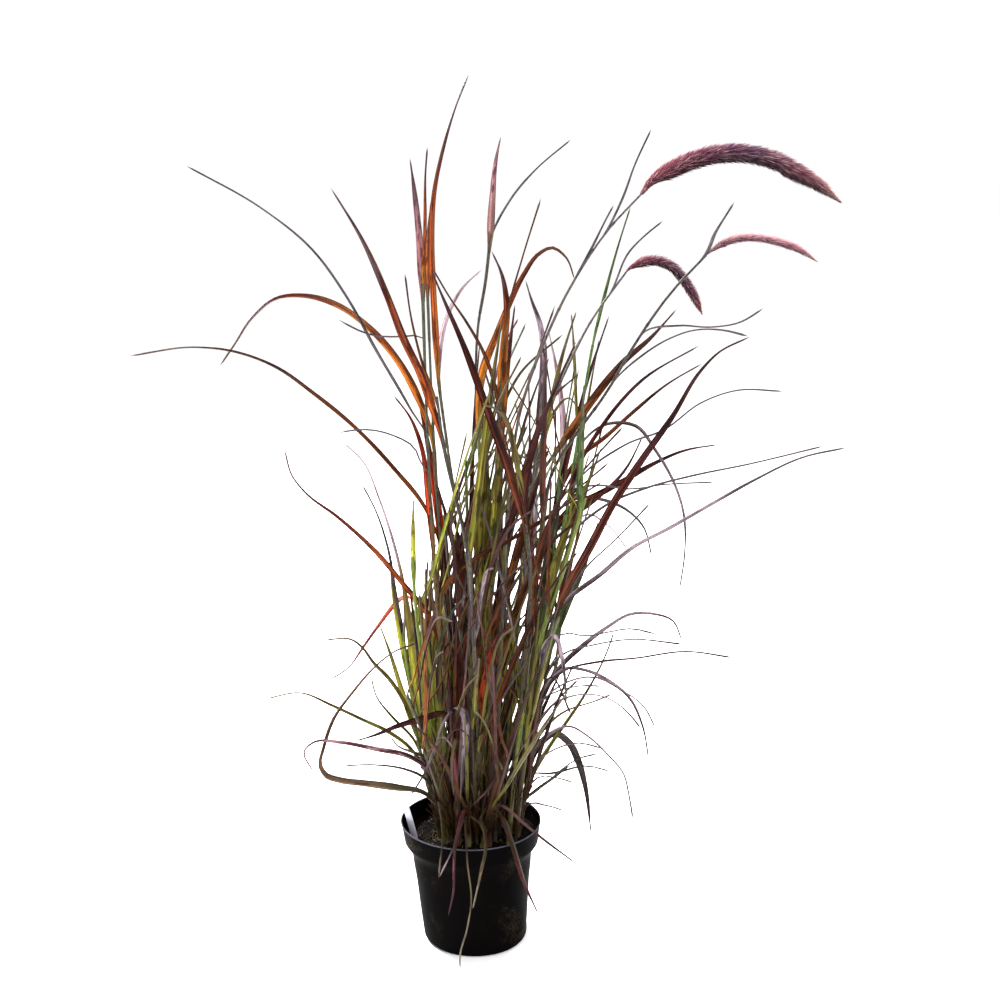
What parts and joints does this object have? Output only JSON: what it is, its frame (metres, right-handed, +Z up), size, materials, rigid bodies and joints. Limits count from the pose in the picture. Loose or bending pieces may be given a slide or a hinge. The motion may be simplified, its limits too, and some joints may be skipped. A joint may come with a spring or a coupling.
{
  "type": "potted purple fountain grass",
  "caption": "Tall clump of arching purple, rust and green grass blades with drooping feathery plumes, growing in compost in a round black nursery pot.",
  "frame": {"origin": "middle of the pot's flat underside, where it rests", "axes": "+Z up out of the pot; -Y towards the side the plant shows best; +X to its right, where the plumes arch"},
  "size_m": [0.9386, 0.6142, 1.1621],
  "materials": {
    "pot_plastic": "satin moulded black polypropylene, dusty",
    "compost": "matt dark moist compost of peat and fine bark",
    "label_plastic": "satin white sheet plastic, blank",
    "leaf_rust": "satin grass leaf, rust orange with green and brown streaks",
    "leaf_burgundy": "satin grass leaf, dark burgundy",
    "leaf_olive": "satin grass leaf, olive green",
    "leaf_mauve": "satin grass leaf, silvery mauve",
    "leaf_green": "satin grass leaf, dark green",
    "leaf_lime": "satin grass leaf, yellow green",
    "leaf_rose": "satin grass leaf, rosy red",
    "leaf_straw": "dry grass leaf, tan",
    "plume": "soft matt purple bristles with rosy tips"
  },
  "bodies": {
    "root": {"pot": "pot_plastic", "soil": "compost", "label": "label_plastic", "stem_left_tall": "leaf_rust", "stem_left_back": "leaf_rust", "stem_burgundy_left": "leaf_burgundy", "stem_orange_left": "leaf_rust", "stem_dark_cross": "leaf_burgundy", "stem_mid_tall": "leaf_burgundy", "stem_orange_mid": "leaf_rust", "stem_olive_mid": "leaf_olive", "flower_stem_large": "leaf_mauve", "flower_stem_slim": "leaf_burgundy", "flower_stem_small": "leaf_mauve", "stem_dark_right": "leaf_burgundy", "stem_green_right": "leaf_green", "stem_lime_right": "leaf_lime", "stem_brown_right": "leaf_rust", "stem_mauve_mid": "leaf_mauve", "stem_purple_right": "leaf_mauve", "stem_lime_left": "leaf_lime", "stem_lime_left_low": "leaf_lime", "stem_low_left": "leaf_olive", "stem_low_loop": "leaf_olive", "stem_low_centre": "leaf_rose", "stem_low_right": "leaf_mauve", "stem_low_right_front": "leaf_mauve", "stem_front_left": "leaf_straw", "stem_front_right": "leaf_rose", "stem_01": "leaf_burgundy", "stem_02": "leaf_green", "stem_03": "leaf_rust", "stem_04": "leaf_mauve", "stem_05": "leaf_olive", "stem_06": "leaf_burgundy", "stem_07": "leaf_green", "stem_08": "leaf_rust", "stem_09": "leaf_mauve", "stem_10": "leaf_olive", "stem_11": "leaf_burgundy", "stem_12": "leaf_green", "stem_13": "leaf_rust", "stem_14": "leaf_mauve", "stem_15": "leaf_olive", "stem_16": "leaf_burgundy", "stem_17": "leaf_green", "stem_18": "leaf_rust", "stem_19": "leaf_mauve", "stem_20": "leaf_olive", "stem_21": "leaf_burgundy", "stem_22": "leaf_green", "stem_23": "leaf_rust", "stem_24": "leaf_mauve", "stem_25": "leaf_olive", "stem_26": "leaf_burgundy", "stem_27": "leaf_green", "plume_large": "plume", "plume_slim": "plume", "plume_small": "plume"}
  },
  "joints": []
}
